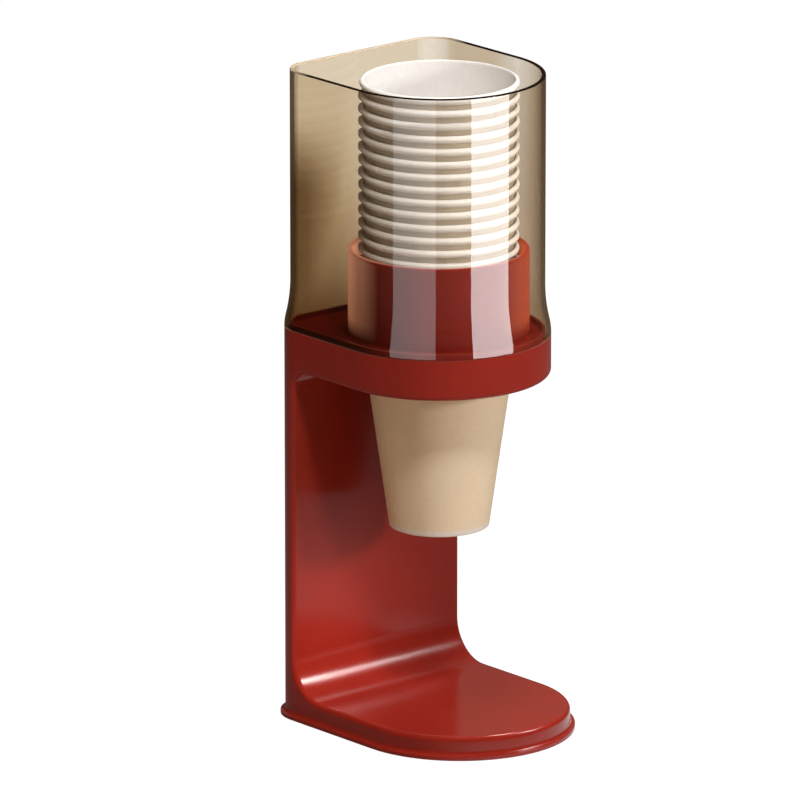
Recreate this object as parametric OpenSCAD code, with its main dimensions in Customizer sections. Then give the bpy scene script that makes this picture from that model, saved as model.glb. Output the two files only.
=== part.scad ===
// Table-top dispenser for paper cups: a hollow stand in the shape of a C holds a nested stack above
// a round throat. Sprung levers round the throat hold the lowest cup by its rolled rim until it is
// pulled down. The cup axis is upright, and everything is placed from it.

/* [Body] */
// Room between the lever ring and the tray's wall, which sets the width of the body
ring_room = 2.45; // [2.4:0.05:9]
// Distance from the cup axis to the back face
body_back = 62.3; // [60:0.1:70]
// Radius of the two rounded back corners, seen from above
back_corner = 18; // [12:1:22]
// Wall thickness of the red mouldings
wall = 2.5; // [2.2:0.1:3]
// Rounding along the outer edges of foot, column and tray
edge_round = 2.5; // [1:0.1:3]

/* [Foot] */
// Height of the foot's top face above the table
foot_top = 11.3; // [10.5:0.1:16]
// How far the foot's round nose stands in front of the tray's
nose_shift = 14.6; // [5:0.1:25]
// How far the lip at the bottom stands out from the foot's wall
lip_flare = 2.3; // [1:0.1:3]
// Height of the lip's upright edge
lip_edge = 1.7; // [1:0.1:2.5]
// Thickness of the plate that closes the foot
base_t = 2; // [1.6:0.1:2.6]
// Radius of the anti-slip pads
pad_r = 6; // [4:0.5:7]
// Thickness of the anti-slip pads
pad_t = 1.7; // [1.5:0.1:2]

/* [Column] */
// Depth of the column from front to back
column_t = 16.8; // [16:0.1:22]
// Radius of the fillet between foot and column
fillet_low = 19; // [8:1:24]
// Radius of the fillet between column and tray
fillet_top = 9; // [4:0.5:14]
// Width of the cover in the column's back
back_cover_w = 64; // [50:1:66]
// Height of the cover in the column's back
back_cover_h = 132; // [100:1:134]
// Thickness of the cover in the column's back
back_cover_t = 2.1; // [1.8:0.1:2.2]

/* [Tray] */
// Height of the tray's underside above the table
tray_z = 171.6; // [160:0.1:200]
// Height of the tray's band
tray_h = 19.5; // [19:0.1:24]
// Radial room round a cup's rim in the throat
throat_gap = 3; // [2:0.1:3.5]

/* [Cup tube] */
// Height of the cup tube above the tray
tube_h = 41.9; // [30:0.1:60]
// Wall thickness of the cup tube
tube_wall = 2.5; // [2:0.1:3]
// Radial room round the cup rims in the tube
tube_gap = 2.3; // [1.5:0.1:2.8]
// Thickness of the deck that carries the tube
deck_t = 2.5; // [2.2:0.1:2.8]

/* [Dust cover] */
// Height of the clear cover above the tray
cover_h = 125.1; // [110:0.1:150]
// Wall thickness of the clear cover
cover_wall = 2; // [1.6:0.1:2.4]
// How far the cover's upright wall lies inside the tray's outline
cover_inset = 2.9; // [1.5:0.1:3.4]
// Height over which the cover flares out to the tray's outline
flare_h = 24; // [14:1:34]
// Height of the rib on the deck that centres the cover
rib_h = 2.4; // [1.5:0.1:3]

/* [Cups] */
// Outer diameter of the rolled rim
rim_d = 75; // [72:0.1:76]
// Diameter of the foot of the cup
cup_base_d = 47; // [44:0.1:50]
// Height of a cup
cup_h = 88; // [80:0.1:94]
// Thickness of the cup's wall and floor
cup_wall = 0.5; // [0.4:0.05:0.55]
// Height of the rolled rim
bead_h = 3.2; // [2.6:0.1:3.6]
// How far the rolled rim stands out from the cup's wall
bead_proud = 1.5; // [1.1:0.05:1.6]
// Height of the cup's floor above its bottom edge
cup_floor = 4.9; // [3:0.1:5]
// Rise from one nested cup to the next
nest_rise = 6.12; // [6:0.01:7]
// Number of cups nested above the lowest one
stack_cups = 21; // [10:1:22]

/* [Retaining levers] */
// Number of levers round the throat
levers = 4; // [3:1:4]
// Height of the hinge pins above the tray's underside
pivot_up = 10.1; // [9.6:0.1:10.5]
// Distance from the cup's rim out to the hinge pin
pivot_out = 6.5; // [6:0.1:6.8]
// Width of the toe that holds the rim
toe_w = 9; // [6:0.1:9.2]
// Thickness of the toe
toe_t = 1.4; // [1:0.1:1.6]
// Radius of the lever's hub
hub_r = 2.3; // [2:0.1:2.5]
// Width of the lever's hub
hub_w = 5.4; // [4:0.1:5.6]
// Height of the arm that stops the lever, above the pin
stop_arm_h = 3.7; // [3:0.1:3.9]
// Radius of the hinge pins
pin_r = 1; // [0.8:0.05:1.2]
// Wire diameter of the lever springs
wire_d = 0.45; // [0.35:0.05:0.5]
// Whole turns of a lever spring
spring_turns = 3; // [2:1:3]

/* [Fasteners] */
// Radius of a screw's shank
screw_r = 1.35; // [1.2:0.05:1.5]
// Radius of a screw's head
screw_head_r = 2.6; // [2.3:0.1:2.8]
// Height of a screw's head
screw_head_h = 1.2; // [1:0.1:1.3]
// Radius of the moulded bosses that take the screws
boss_r = 3.2; // [3:0.1:3.6]

/* [Fits] */
// Radial clearance between a hinge pin and its bores
pin_fit = 0.05; // [0.02:0.01:0.08]
// Clearance round a panel in its opening
panel_fit = 0.3; // [0.2:0.05:0.4]
// Gap between a resting rim and the lever under it
rim_seat = 0.3; // [0.2:0.05:0.4]
// Radial clearance between a screw's shank and its hole
screw_fit = 0.05; // [0.03:0.01:0.08]

/* [Hidden] */
$fn = 96;
cut = 1;

// Heights, from the table up
rim_lift = 0.5;
base_z = 0.9;
deck_z = tray_z + tray_h;
deck_low = deck_z - deck_t;
pivot_z = tray_z + pivot_up;
cover_top = deck_z + cover_h;

// Lever stations, each drawn in a frame with x outwards from the cup axis and y along the pin
rim_r = rim_d / 2;
lever_gap = 0.3;
wire_gap = 0.1;
coil_r = toe_t + wire_d / 2 + wire_gap;
pivot_r = rim_r + pivot_out;
stop_face = pivot_r + coil_r + wire_d / 2 + wire_gap;
stop_t = 1.5;
carrier_out = stop_face + stop_t;

// Plan of the body, from the cup axis at x = 0, y = 0
half_w = carrier_out + ring_room + wall;
corner_x = half_w - back_corner;
corner_y = body_back - back_corner;
column_front = body_back - column_t;
foot_front = nose_shift + half_w + lip_flare;
foot_back = body_back + lip_flare;
// The part stands with the middle of its footprint on the origin
axis_y = (foot_front - foot_back) / 2;

// Cups
cup_base_r = cup_base_d / 2;
cup_slope = (rim_r - bead_proud - cup_base_r) / cup_h;
cup_z = pivot_z + rim_seat + bead_h - cup_h;
bead_half = bead_h / 2;
bead_r = (bead_half * bead_half + bead_proud * bead_proud) / (2 * bead_proud);

// Tray, tube and deck
throat_r = rim_r + throat_gap;
tube_in = rim_r + tube_gap;
tube_out = tube_in + tube_wall;
tube_fillet = 2;
deck_inset = wall + panel_fit;
rib_w = 1.5;
hook_angles = [240, 300];
hook_span = 10;
hook_t = 1.6;
hook_reach = 1.2;
hook_drop = 2.4;
hook_bite = 1.4;
hook_spring = 0.2;
hook_room = 0.3;
hook_end_room = 1;
deck_screw_x = half_w - wall - panel_fit - boss_r - 1;
deck_screw_y = 29;
deck_screw_len = 9;

// Room for the screws in the panels that they hold
head_room = 0.2;
shank_room = 0.15;
head_sink = screw_head_h + head_room;
head_bore_r = screw_head_r + head_room;
shank_bore_r = screw_r + shank_room;
thread_bore_r = screw_r + screw_fit;

// Levers, pins, springs and the ring that carries them
toe_gap = 0.35;
toe_step = 0.5;
toe_side_room = 0.8;
toe_r = cup_radius(cup_h - bead_h) + toe_gap;
toe_back = pivot_r - hub_r - toe_step;
lug_t = 2.5;
lug_r = 2.7;
lug_face = toe_w / 2 + toe_side_room;
pin_over = 0.3;
pin_head_t = 0.7;
pin_head_over = 0.6;
pin_head_r = pin_r + pin_head_over;
hub_y = lever_gap - lug_face;
coil_rise = 0.95;
coil_start = 0.7;
coil_y = hub_y + hub_w + coil_start;
coil_steps = 12;
wire_sides = 6;
leg_under_toe = 1.5;
leg_below_ring = 1.5;
stop_arm_t = 2.4;
stop_drop = 3;
carrier_t = 2.2;
carrier_in = throat_r + lever_gap;
carrier_z = deck_low - carrier_t;
carrier_boss_r = 2.4;
carrier_boss_wall = 0.25;
carrier_screw_r = carrier_out - carrier_boss_r - carrier_boss_wall;
carrier_head_over = 0.6;
carrier_screw_len = 3.4;
first_station = 45;
station_step = 360 / levers;

// Screws of the foot and of the column's back
base_screws_at = [[40, 20], [28, -40]];
base_screw_len = 7;
pads_at = [[38, 42], [20, -50]];
pad_edge = 0.4;
back_cover_z = (foot_top + tray_z) / 2;
back_screw_x = back_cover_w / 2 - 6;
back_screw_up = back_cover_h / 2 - 9;
back_screw_len = 8;
ledge_w = 3;
ledge_t = 2.3;
panel_corner = 4;
panel_sink = 0.1;
rebate_y = body_back - back_cover_t - panel_sink;

red = [0.56, 0.15, 0.13];
amber = [0.55, 0.43, 0.28, 0.45];
paper = [0.93, 0.91, 0.87];

function two_digits(i) = str(i < 10 ? "0" : "", i);
function cup_name(i) = str("cup_", two_digits(i));
function lever_name(i) = str("lever_", i);
function pin_name(i) = str("lever_pin_", i);
function spring_name(i) = str("lever_spring_", i);

// Outer radius of a cup's wall at a height above its bottom edge
function cup_radius(h) = cup_base_r + cup_slope * h;

// Plan outline of the body: a round nose, straight sides and rounded back corners
module body_outline(nose_y, inset = 0) {
    r = half_w - inset;
    rc = back_corner - inset;
    translate([0, nose_y]) circle(r);
    translate([-r, nose_y]) square([2 * r, corner_y - nose_y]);
    for (side = [-1, 1]) translate([side * corner_x, corner_y]) circle(rc);
    translate([-corner_x, corner_y]) square([2 * corner_x, rc]);
}

// A prism on the body's outline
module body_prism(nose_y, inset, z0, z1) {
    translate([0, 0, z0]) linear_extrude(z1 - z0) body_outline(nose_y, inset);
}

// Carries a profile, x outwards from the outline and y up, once round the outline
module along_outline(nose_y) {
    translate([0, nose_y, 0])
        rotate_extrude(angle = 180, start = 180) translate([half_w, 0]) children();
    for (side = [0, 1]) mirror([side, 0, 0]) {
        translate([half_w, corner_y, 0])
            rotate([90, 0, 0]) linear_extrude(corner_y - nose_y) children();
        translate([corner_x, corner_y, 0])
            rotate_extrude(angle = 90) translate([back_corner, 0]) children();
    }
    translate([-corner_x, body_back, 0])
        rotate([90, 0, 90]) linear_extrude(2 * corner_x) children();
}

// Side view of the open space between foot and tray, grown by a wall where asked
module open_space_profile(grow) {
    front = column_front + grow;
    low = foot_top - grow;
    high = tray_z + grow;
    r_low = fillet_low + grow;
    r_top = fillet_top + grow;
    reach = foot_front + 2 * half_w;
    translate([-reach, low]) square([reach + front - r_low, r_low]);
    translate([-reach, low + r_low]) square([reach + front, high - low - r_low - r_top]);
    translate([-reach, high - r_top]) square([reach + front - r_top, r_top]);
    translate([front - r_low, low + r_low]) circle(r_low);
    translate([front - r_top, high - r_top]) circle(r_top);
}

module open_space(grow = 0) {
    rotate([90, 0, 90])
        linear_extrude(4 * half_w, center = true) open_space_profile(grow);
}

// What a rounded edge takes off a square corner at the origin, with the material towards -x and -y
module corner_waste() {
    difference() {
        translate([-edge_round, -edge_round]) square(edge_round + cut);
        translate([-edge_round, -edge_round]) circle(edge_round);
    }
}

// Rounds the outer edge all along the C: foot, lower fillet, column, upper fillet and tray
module edge_waste() {
    low_y = column_front - fillet_low;
    low_z = foot_top + fillet_low;
    top_y = column_front - fillet_top;
    top_z = tray_z - fillet_top;
    translate([0, -nose_shift, foot_top])
        rotate_extrude(angle = 180, start = 180) translate([half_w, 0]) corner_waste();
    translate([0, 0, tray_z])
        rotate_extrude(angle = 180, start = 180)
            translate([half_w, 0]) mirror([0, 1]) corner_waste();
    for (side = [0, 1]) mirror([side, 0, 0]) {
        translate([half_w, low_y, foot_top])
            rotate([90, 0, 0]) linear_extrude(low_y + nose_shift) corner_waste();
        translate([0, low_y, low_z])
            rotate([0, 90, 0]) rotate_extrude(angle = 90)
                translate([fillet_low, half_w]) mirror([1, 0]) corner_waste();
        translate([half_w, column_front, low_z])
            linear_extrude(top_z - low_z) mirror([0, 1]) corner_waste();
        translate([0, top_y, top_z])
            rotate([0, 90, 0]) rotate_extrude(angle = 90, start = 90)
                translate([fillet_top, half_w]) mirror([1, 0]) corner_waste();
        translate([half_w, top_y, tray_z])
            rotate([90, 0, 0]) linear_extrude(top_y) mirror([0, 1]) corner_waste();
    }
}

// The lip round the foot: an upright edge under a concave cove
module lip_profile() {
    difference() {
        translate([-wall / 2, rim_lift]) square([wall / 2 + lip_flare, lip_edge + lip_flare]);
        translate([lip_flare, rim_lift + lip_edge + lip_flare]) circle(lip_flare);
    }
}

// A screw along +z: its head below z = 0 and its shank above
module screw(length, r = screw_r, head_r = screw_head_r) {
    socket_r = head_r / 2;
    difference() {
        union() {
            translate([0, 0, -screw_head_h]) cylinder(r = head_r, h = screw_head_h);
            cylinder(r = r, h = length);
        }
        translate([0, 0, -screw_head_h - cut])
            cylinder(r = socket_r, h = cut + screw_head_h / 2, $fn = 6);
    }
}

// Places its children at a list of points and at their mirror images across x = 0
module at_pairs(points) {
    for (p = points, side = [-1, 1]) translate([side * p[0], p[1], 0]) children();
}

// Places its children at the four corners of the cover in the column's back, looking forwards
module at_back_screws() {
    for (side = [-1, 1], up = [-1, 1])
        translate([side * back_screw_x, body_back, back_cover_z + up * back_screw_up])
            rotate([90, 0, 0]) children();
}

// A rectangle with rounded corners, for the cover in the column's back
module panel_outline(grow) {
    w = back_cover_w + 2 * grow;
    h = back_cover_h + 2 * grow;
    r = panel_corner + grow;
    square([w - 2 * r, h], center = true);
    square([w, h - 2 * r], center = true);
    for (x = [-1, 1], y = [-1, 1])
        translate([x * (w / 2 - r), y * (h / 2 - r)]) circle(r);
}

// The same outline as a slab across the column's back, from y0 to y1
module back_slab(grow, y0, y1) {
    translate([0, y1, back_cover_z])
        rotate([90, 0, 0]) linear_extrude(y1 - y0) panel_outline(grow);
}

module stand_shell() {
    middle = (foot_top + tray_z) / 2;
    base_top = base_z + base_t;
    color(red) difference() {
        union() {
            difference() {
                union() {
                    body_prism(-nose_shift, 0, rim_lift, middle);
                    body_prism(0, 0, middle, deck_z);
                    along_outline(-nose_shift) lip_profile();
                }
                open_space();
                edge_waste();
                difference() {
                    union() {
                        body_prism(-nose_shift, wall, rim_lift - cut, middle);
                        body_prism(0, wall, middle, deck_z + cut);
                    }
                    open_space(wall);
                }
            }
            back_slab(ledge_w, rebate_y - ledge_t, body_back - wall / 2);
            intersection() {
                at_pairs(base_screws_at)
                    translate([0, 0, base_top]) cylinder(r = boss_r, h = foot_top - wall / 2 - base_top);
                body_prism(-nose_shift, wall / 2, 0, middle);
            }
            intersection() {
                at_back_screws() cylinder(r = boss_r, h = column_t - wall / 2);
                back_slab(0, column_front, rebate_y);
            }
        }
        back_slab(panel_fit, rebate_y, body_back + cut);
        difference() {
            back_slab(-ledge_w, column_front + wall, body_back);
            at_back_screws() cylinder(r = boss_r, h = column_t);
        }
        at_pairs(base_screws_at)
            translate([0, 0, base_top - cut]) cylinder(r = thread_bore_r, h = cut + base_screw_len);
        at_back_screws() cylinder(r = thread_bore_r, h = back_screw_len + back_cover_t);
        translate([0, 0, tray_z - cut]) cylinder(r = throat_r, h = wall + 2 * cut);
        at_pairs([[deck_screw_x, deck_screw_y]]) translate([0, 0, tray_z]) {
            translate([0, 0, -cut]) cylinder(r = head_bore_r, h = cut + head_sink);
            cylinder(r = shank_bore_r, h = wall + cut);
        }
        for (a = hook_angles) hook_pocket(a);
    }
}

// The pocket in the band's wall that a hook of the deck snaps into
module hook_pocket(angle) {
    span = hook_span + 2 * hook_end_room;
    rotate([0, 0, angle - span / 2])
        rotate_extrude(angle = span)
            translate([half_w - wall - cut, deck_low - hook_drop - hook_room])
                square([cut + hook_reach, hook_bite + 2 * hook_room]);
}

module back_cover() {
    color(red) difference() {
        back_slab(0, rebate_y, body_back - panel_sink);
        at_back_screws() {
            translate([0, 0, -cut]) cylinder(r = shank_bore_r, h = back_cover_t + 2 * cut);
            translate([0, 0, -cut]) cylinder(r = head_bore_r, h = cut + head_sink);
        }
    }
}

module back_cover_screws() {
    color("silver")
        at_back_screws() translate([0, 0, head_sink]) screw(back_screw_len);
}

module base_plate() {
    color([0.2, 0.2, 0.2]) difference() {
        body_prism(-nose_shift, wall + panel_fit, base_z, base_z + base_t);
        at_pairs(base_screws_at) {
            cylinder(r = shank_bore_r, h = base_z + base_t + cut);
            cylinder(r = head_bore_r, h = base_z + head_sink);
        }
        at_pairs(pads_at) cylinder(r = pad_r + shank_room, h = pad_t);
    }
}

module base_screws() {
    color("silver") at_pairs(base_screws_at)
        translate([0, 0, base_z + head_sink]) screw(base_screw_len);
}

module anti_slip_pads() {
    color([0.12, 0.12, 0.12]) at_pairs(pads_at) {
        cylinder(r1 = pad_r - pad_edge, r2 = pad_r, h = pad_edge);
        translate([0, 0, pad_edge]) cylinder(r = pad_r, h = pad_t - pad_edge);
    }
}

// The tube's wall with its rounded top edge, and the fillet at its foot
module tube_profile() {
    top = deck_z + tube_h;
    translate([tube_in, deck_low]) square([tube_wall, top - tube_wall / 2 - deck_low]);
    translate([tube_in + tube_wall / 2, top - tube_wall / 2]) circle(tube_wall / 2);
    difference() {
        translate([tube_out - cut / 2, deck_z - cut / 2]) square(tube_fillet + cut / 2);
        translate([tube_out + tube_fillet, deck_z + tube_fillet]) circle(tube_fillet);
    }
}

module at_carrier_screws() {
    for (i = [1:levers])
        rotate([0, 0, first_station + (i - 0.5) * station_step])
            translate([carrier_screw_r, 0, 0]) children();
}

module cup_tube() {
    color(red) difference() {
        union() {
            difference() {
                body_prism(0, deck_inset, deck_low, deck_z);
                translate([0, 0, deck_low - cut]) cylinder(r = tube_in + tube_wall / 2, h = deck_t + 2 * cut);
            }
            difference() {
                body_prism(0, deck_inset, deck_z - cut, deck_z + rib_h);
                body_prism(0, deck_inset + rib_w, deck_z - 2 * cut, deck_z + rib_h + cut);
            }
            rotate_extrude() tube_profile();
            for (a = hook_angles) hook(a);
            at_carrier_screws()
                translate([0, 0, carrier_z]) cylinder(r = carrier_boss_r, h = carrier_t + cut);
            at_pairs([[deck_screw_x, deck_screw_y]])
                translate([0, 0, tray_z + wall]) cylinder(r = boss_r, h = deck_low - tray_z - wall + cut);
        }
        at_carrier_screws()
            translate([0, 0, carrier_z - cut]) cylinder(r = thread_bore_r, h = cut + carrier_screw_len + head_room);
        at_pairs([[deck_screw_x, deck_screw_y]])
            translate([0, 0, tray_z]) cylinder(r = thread_bore_r, h = head_sink + deck_screw_len + head_room);
    }
}

// A hook under the deck's edge: a leg, a little inside the edge, with a bite that points outwards
module hook(angle) {
    leg_out = half_w - deck_inset - hook_spring;
    rotate([0, 0, angle - hook_span / 2])
        rotate_extrude(angle = hook_span) {
            translate([leg_out - hook_t, deck_low - hook_drop]) square([hook_t, hook_drop + cut]);
            translate([leg_out - hook_t, deck_low - hook_drop])
                square([hook_t + hook_reach, hook_bite]);
        }
}

module deck_screws() {
    color("silver") at_pairs([[deck_screw_x, deck_screw_y]])
        translate([0, 0, tray_z + head_sink]) screw(deck_screw_len);
}

module at_stations() {
    for (i = [1:levers]) station(i) children();
}

module station(i) {
    rotate([0, 0, first_station + (i - 1) * station_step]) children();
}

// A cylinder along the hinge pin, from y0 to y1
module along_pin(r, y0, y1) {
    translate([pivot_r, y0, pivot_z]) rotate([-90, 0, 0]) cylinder(r = r, h = y1 - y0);
}

module lever_carrier() {
    color([0.85, 0.84, 0.8]) difference() {
        union() {
            difference() {
                translate([0, 0, carrier_z]) cylinder(r = carrier_out, h = carrier_t);
                translate([0, 0, carrier_z - cut]) cylinder(r = carrier_in, h = carrier_t + 2 * cut);
            }
            at_stations() {
                for (y = [-lug_face - lug_t, lug_face]) {
                    along_pin(lug_r, y, y + lug_t);
                    translate([pivot_r - lug_r, y, pivot_z])
                        cube([2 * lug_r, lug_t, carrier_z - pivot_z + carrier_t / 2]);
                }
                translate([stop_face, -lug_face, carrier_z - stop_drop])
                    cube([stop_t, 2 * lug_face, stop_drop + carrier_t / 2]);
            }
        }
        at_stations() along_pin(pin_r + pin_fit, -lug_face - lug_t - cut, lug_face + lug_t + cut);
        at_carrier_screws()
            translate([0, 0, carrier_z - cut]) cylinder(r = carrier_boss_r + shank_room, h = carrier_t + 2 * cut);
    }
}

module carrier_screws() {
    color("silver") at_carrier_screws()
        translate([0, 0, carrier_z]) screw(carrier_screw_len, screw_r, carrier_boss_r + carrier_head_over);
}

// A retaining lever: a toe under the rim, a hub on the pin and an arm against its stop
module lever() {
    difference() {
        union() {
            along_pin(hub_r, hub_y, hub_y + hub_w);
            translate([toe_r - 1, -toe_w / 2, pivot_z - toe_t])
                cube([toe_back - toe_r + 1, toe_w, toe_t]);
            translate([toe_back - cut, hub_y, pivot_z - toe_t])
                cube([pivot_r - toe_back + cut, hub_w, toe_t]);
            translate([stop_face - rim_seat - stop_arm_t, hub_y, pivot_z])
                cube([stop_arm_t, hub_w, stop_arm_h]);
        }
        along_pin(pin_r + pin_fit, hub_y - cut, hub_y + hub_w + cut);
        translate([0, 0, pivot_z - toe_t - cut]) cylinder(r = toe_r, h = toe_t + 2 * cut);
    }
}

module lever_pin() {
    far = lug_face + lug_t;
    along_pin(pin_r, -far - pin_over, far + pin_over);
    along_pin(pin_head_r, far + wire_gap, far + wire_gap + pin_head_t);
}

// Rings of the spring's wire: a leg under the toe, the coil round the pin and a leg up to the stop
function coil_point(a, y) =
    let (out = [cos(a), 0, sin(a)])
    [[pivot_r, y, pivot_z] + coil_r * out, out];
coil_rings = [
    for (k = [0:coil_steps * spring_turns + coil_steps / 4])
        coil_point(-90 + 360 * k / coil_steps, coil_y + coil_rise * k / coil_steps)
];
function shifted(ring, step) = [ring[0] + step, ring[1]];
last_ring = coil_rings[len(coil_rings) - 1];
spring_rings = concat(
    [shifted(coil_rings[0], [toe_back - leg_under_toe - pivot_r, 0, 0])],
    coil_rings,
    [shifted(last_ring, [0, 0, carrier_z - leg_below_ring - pivot_z])]
);

// Sweeps the wire through the rings as one closed tube
module lever_spring() {
    rows = len(spring_rings);
    points = [
        for (ring = spring_rings, j = [0:wire_sides - 1])
            let (a = 360 * j / wire_sides)
            ring[0] + wire_d / 2 * (cos(a) * ring[1] + sin(a) * [0, 1, 0])
    ];
    sides = [
        for (i = [0:rows - 2], j = [0:wire_sides - 1])
            let (a = i * wire_sides + j, b = i * wire_sides + (j + 1) % wire_sides)
            each [[a, b, a + wire_sides], [b, b + wire_sides, a + wire_sides]]
    ];
    first_cap = [[for (j = [wire_sides - 1:-1:0]) j]];
    last_cap = [[for (j = [0:wire_sides - 1]) (rows - 1) * wire_sides + j]];
    polyhedron(points, concat(sides, first_cap, last_cap));
}

// The cover's inset from the tray's outline at a height above the deck: two arcs that meet smoothly
flare_turn = 2 * atan(cover_inset / flare_h);
flare_sum = flare_h / sin(flare_turn);
flare_share = 0.25;
flare_r1 = flare_share * flare_sum;
flare_r2 = flare_sum - flare_r1;
flare_steps = 10;
cover_edge = 0.5;
function flare(h) =
    h < flare_r1 * sin(flare_turn) ? flare_r1 - sqrt(flare_r1 * flare_r1 - h * h) :
    h < flare_h ? cover_inset - flare_r2 + sqrt(flare_r2 * flare_r2 - (flare_h - h) * (flare_h - h)) :
    cover_inset;

module cover_profile() {
    heights = [for (k = [0:flare_steps]) flare_h * k / flare_steps];
    outer = [for (h = heights) [-flare(h), deck_z + h]];
    inner = [for (k = [flare_steps:-1:0]) [-flare(heights[k]) - cover_wall, deck_z + heights[k]]];
    top = [
        [-cover_inset, cover_top - cover_edge],
        [-cover_inset - cover_edge, cover_top],
        [-cover_inset - cover_wall + cover_edge, cover_top],
        [-cover_inset - cover_wall, cover_top - cover_edge]
    ];
    polygon(concat(outer, top, inner));
}

module dust_cover() {
    color(amber) along_outline(0) cover_profile();
}

// Points along the outside of the rolled rim, from its lower edge up
bead_turn = acos(1 - bead_proud / bead_r);
bead_steps = 8;
bead_points = [
    for (k = [0:bead_steps])
        let (a = bead_turn * (2 * k / bead_steps - 1))
        [rim_r - bead_r, cup_h - bead_half] + bead_r * [cos(a), sin(a)]
];

// A paper cup in section: sloping wall, recessed floor and rolled rim
module cup_section() {
    polygon(concat(
        [[cup_base_r - cup_wall, 0], [cup_base_r, 0], [cup_radius(cup_h - bead_h), cup_h - bead_h]],
        bead_points,
        [[cup_radius(cup_h) - cup_wall, cup_h]]
    ));
    translate([0, cup_floor]) square([cup_radius(cup_floor) - cup_wall / 2, cup_wall]);
}

module cup(rise) {
    translate([0, 0, cup_z + rise]) rotate_extrude() cup_section();
}

// Cups are counted from the top of the stack down
module stacked_cup(i) {
    color(paper) cup((stack_cups + 1 - i) * nest_rise);
}

module hanging_cup() {
    color([0.82, 0.72, 0.58]) cup(0);
}

// Stands the part with the middle of its footprint on the origin
module placed() {
    translate([0, axis_y, 0]) children();
}

placed() stand_shell();
placed() back_cover();
placed() back_cover_screws();
placed() base_plate();
placed() base_screws();
placed() anti_slip_pads();
placed() cup_tube();
placed() deck_screws();
placed() lever_carrier();
placed() carrier_screws();
for (i = [1:levers]) {
    placed() station(i) color("ivory") lever();
    placed() station(i) color("silver") lever_pin();
    placed() station(i) color("gray") lever_spring();
}
placed() dust_cover();
placed() hanging_cup();
for (i = [1:stack_cups])
    placed() stacked_cup(i);
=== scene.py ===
"""Looks of the table-top cup dispenser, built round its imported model.

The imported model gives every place. This script sets the camera, makes the clear cover, the paper cups
and the lever springs as smooth surfaces, gives each piece its finish, and lights it all on a pale floor.
Lengths are in metres, or in mm where a comment says so, with the cup axis upright at x = 0 and y = AXIS_Y.
"""
import math

import bpy
import numpy as np
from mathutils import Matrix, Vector


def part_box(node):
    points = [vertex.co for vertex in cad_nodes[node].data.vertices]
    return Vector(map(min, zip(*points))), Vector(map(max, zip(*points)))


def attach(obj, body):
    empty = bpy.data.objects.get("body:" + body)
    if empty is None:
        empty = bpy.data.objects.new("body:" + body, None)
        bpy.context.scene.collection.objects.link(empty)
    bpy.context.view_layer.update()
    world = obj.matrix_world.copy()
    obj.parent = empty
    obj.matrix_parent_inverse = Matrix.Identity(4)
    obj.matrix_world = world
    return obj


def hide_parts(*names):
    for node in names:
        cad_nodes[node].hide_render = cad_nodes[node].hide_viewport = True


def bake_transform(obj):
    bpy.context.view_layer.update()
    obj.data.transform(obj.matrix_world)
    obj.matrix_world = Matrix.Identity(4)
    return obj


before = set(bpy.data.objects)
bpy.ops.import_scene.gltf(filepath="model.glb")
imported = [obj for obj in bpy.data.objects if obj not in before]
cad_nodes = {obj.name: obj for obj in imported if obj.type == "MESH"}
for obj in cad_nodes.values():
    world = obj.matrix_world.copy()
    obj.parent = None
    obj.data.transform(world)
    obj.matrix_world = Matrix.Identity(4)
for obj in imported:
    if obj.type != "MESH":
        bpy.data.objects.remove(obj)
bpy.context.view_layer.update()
MM = 0.001

# The body's plan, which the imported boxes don't give, from the part's source
AXIS_Y = 2.4 * MM
HALF_W = 52.5 * MM
BODY_BACK = 62.3 * MM
BACK_CORNER = 18 * MM
CORNER_X = HALF_W - BACK_CORNER
CORNER_Y = AXIS_Y + BODY_BACK - BACK_CORNER

# The clear cover, in mm: how far in it stands, its wall, its flare's height and its top edge's rounding
COVER_INSET = 2.9
COVER_WALL = 2.0
FLARE_H = 24.0
EDGE_ROUND = 0.5

# A paper cup, in mm: its outside, its board and floor, its rolled rim, and the step where the board overlaps
CUP_FOOT_R = 23.5
CUP_MOUTH_R = 36.0
CUP_H = 88.0
BOARD = 0.5
FLOOR_Z = 4.9
RIM_OUT = 1.5
RIM_HALF_H = 1.6
SEAM_STEP = 0.2
# Where the print begins on its outside, and where its painted shade on the neck does
PRINT_Z = 2.6
NECK_SHADE_Z = 80.0

# The levers' pins and springs, in mm: the pin's place, then the wire, its coil and the ends of its legs
LEVERS = 4
FIRST_LEVER_DEG = 45
PIN_R = 44.0
PIN_Z = 181.7
WIRE_R = 0.225
COIL_R = 1.725
COIL_TURNS = 3.25
COIL_START = 2.46
COIL_RISE = 0.95
TOE_LEG_END = 39.7
STOP_LEG_END = 184.9
WIRE_SIDES = 12
STEPS_A_TURN = 36
LEG_STEPS = 8

# The camera, at the photographed angle, and the level ways to it and to its right
CAMERA_AT = Vector((-3.15633, -3.62327, 1.53338))
CAMERA_AIM = Vector((-0.01405, 0.01453, 0.15771))
camera = bpy.data.objects.new("camera", bpy.data.cameras.new("camera"))
camera.location = CAMERA_AT
camera.rotation_euler = (CAMERA_AIM - CAMERA_AT).to_track_quat("-Z", "Y").to_euler()
camera.data.lens = 478.15
camera.data.sensor_width = 36
camera.data.clip_end = 50
bpy.context.scene.collection.objects.link(camera)
bpy.context.scene.camera = camera
TO_CAMERA = Vector((-0.6537, -0.7568, 0))
TO_RIGHT = Vector((-TO_CAMERA.y, TO_CAMERA.x, 0))
UP = Vector((0, 0, 1))


# Node helpers
def add(tree, kind, inputs=None, **settings):
    """Adds a shader node; an input given as another node's socket is linked, any other is set."""
    made = tree.nodes.new("ShaderNode" + kind)
    for key, value in settings.items():
        setattr(made, key, value)
    for key, value in (inputs or {}).items():
        if isinstance(value, bpy.types.NodeSocket):
            tree.links.new(value, made.inputs[key])
        else:
            made.inputs[key].default_value = value
    return made


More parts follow.
